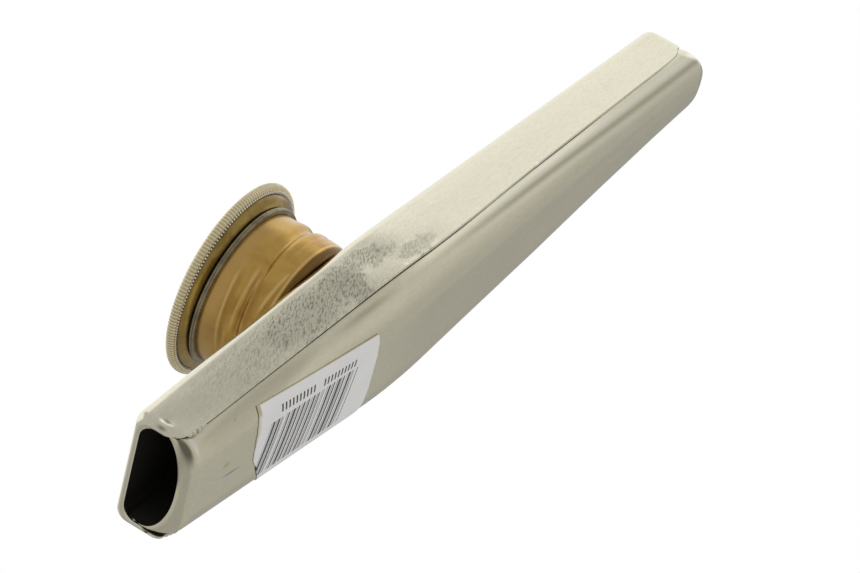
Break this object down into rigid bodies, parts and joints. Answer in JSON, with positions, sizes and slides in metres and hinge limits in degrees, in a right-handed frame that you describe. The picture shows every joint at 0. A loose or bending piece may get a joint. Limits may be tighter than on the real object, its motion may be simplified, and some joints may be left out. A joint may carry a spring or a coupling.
{
  "type": "kazoo",
  "caption": "Metal kazoo: flattened, tapering pressed tube with a mouth at the wide end, an outlet at the narrow end, and a collar with a flared screw cap over a membrane.",
  "frame": {"origin": "under the middle of the body's box, on the surface it lies on", "axes": "+X from the mouth to the outlet, +Z out of the top plate along the collar and the cap, +Y to the left seen from the mouth with the cap up"},
  "size_m": [0.1244, 0.0268, 0.0237],
  "materials": {
    "tin": "bright rolled tinplate, finely brushed, with a warm grey tone",
    "solder": "cast, half-bright solder",
    "gold_lacquer": "tinplate under clear amber lacquer, worn bright on the knurled rim",
    "grey_tin": "bare grey tin",
    "membrane": "thin translucent film",
    "label_paper": "white coated paper with a printed code of plain bars"
  },
  "bodies": {
    "kazoo_body": {"upper_shell": "tin", "lower_shell": "tin", "solder_tacks": "solder", "collar": "gold_lacquer", "bead_ring": "grey_tin", "label": "label_paper"},
    "membrane_disc": {"membrane": "membrane", "membrane_ring": "grey_tin"},
    "cap": {"screw_cap": "gold_lacquer"}
  },
  "joints": [
    {"name": "membrane_lift", "type": "slide", "parent": "kazoo_body", "child": "membrane_disc", "axis": [0, 0, 1], "range_m": [0, 0.01081]},
    {"name": "cap_turn", "type": "hinge", "parent": "membrane_disc", "child": "cap", "pos_m": [-0.0232, 0, 0.01145], "axis": [0, 0, 1], "range_deg": [0, 1440]}
  ],
  "couplings": [
    {"joint": "membrane_lift", "follows": "cap_turn", "m_per_rad": 0.00042972}
  ]
}
